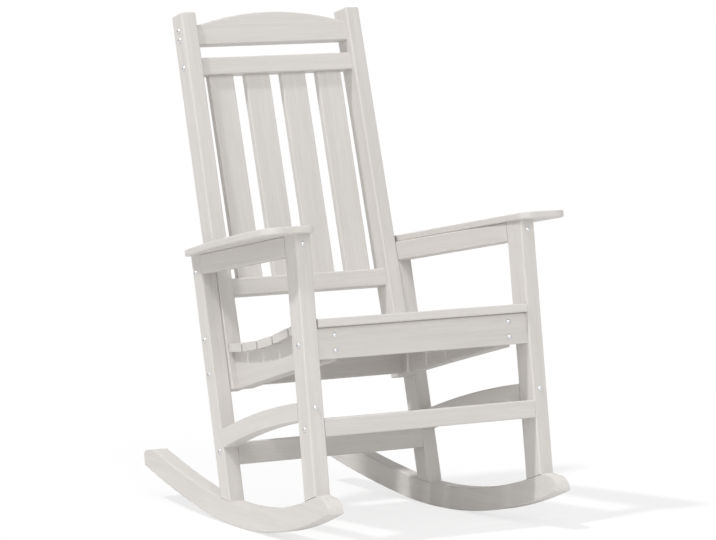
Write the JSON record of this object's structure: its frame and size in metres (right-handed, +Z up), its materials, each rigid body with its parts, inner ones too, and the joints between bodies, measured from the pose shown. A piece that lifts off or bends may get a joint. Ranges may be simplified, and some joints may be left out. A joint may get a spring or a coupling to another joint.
{
  "type": "rocking adirondack chair",
  "caption": "High-backed outdoor rocking armchair of square posts and flat boards, with a slatted contoured seat, slatted back and wide flat arms.",
  "frame": {"origin": "middle of the overall box, on the ground that the rockers stand on", "axes": "+Z up, front of the chair towards -Y, +X towards the sitter's left"},
  "size_m": [0.7586, 0.8627, 1.0836],
  "materials": {
    "board": "matte, with a fine lengthwise wood grain",
    "steel": "bright satin"
  },
  "bodies": {
    "root": {"arm_left": "board", "arm_rail_left": "board", "arm_rail_right": "board", "arm_right": "board", "arm_screws": "steel", "back_post_left": "board", "back_post_right": "board", "back_slat_1": "board", "back_slat_2": "board", "back_slat_3": "board", "back_slat_4": "board", "crest_rail": "board", "frame_screws": "steel", "front_apron": "board", "front_leg_left": "board", "front_leg_right": "board", "front_stretcher": "board", "long_screws": "steel", "lower_back_rail": "board", "plugs": "board", "rear_leg_left": "board", "rear_leg_right": "board", "rear_stretcher": "board", "rocker_left": "board", "rocker_right": "board", "seat_cross_rail": "board", "seat_rail_left": "board", "seat_rail_right": "board", "seat_screws": "steel", "seat_slat_1": "board", "seat_slat_2": "board", "seat_slat_3": "board", "seat_slat_4": "board", "seat_slat_5": "board", "seat_slat_6": "board", "side_stretcher_left": "board", "side_stretcher_right": "board", "upper_back_rail": "board"}
  },
  "joints": []
}
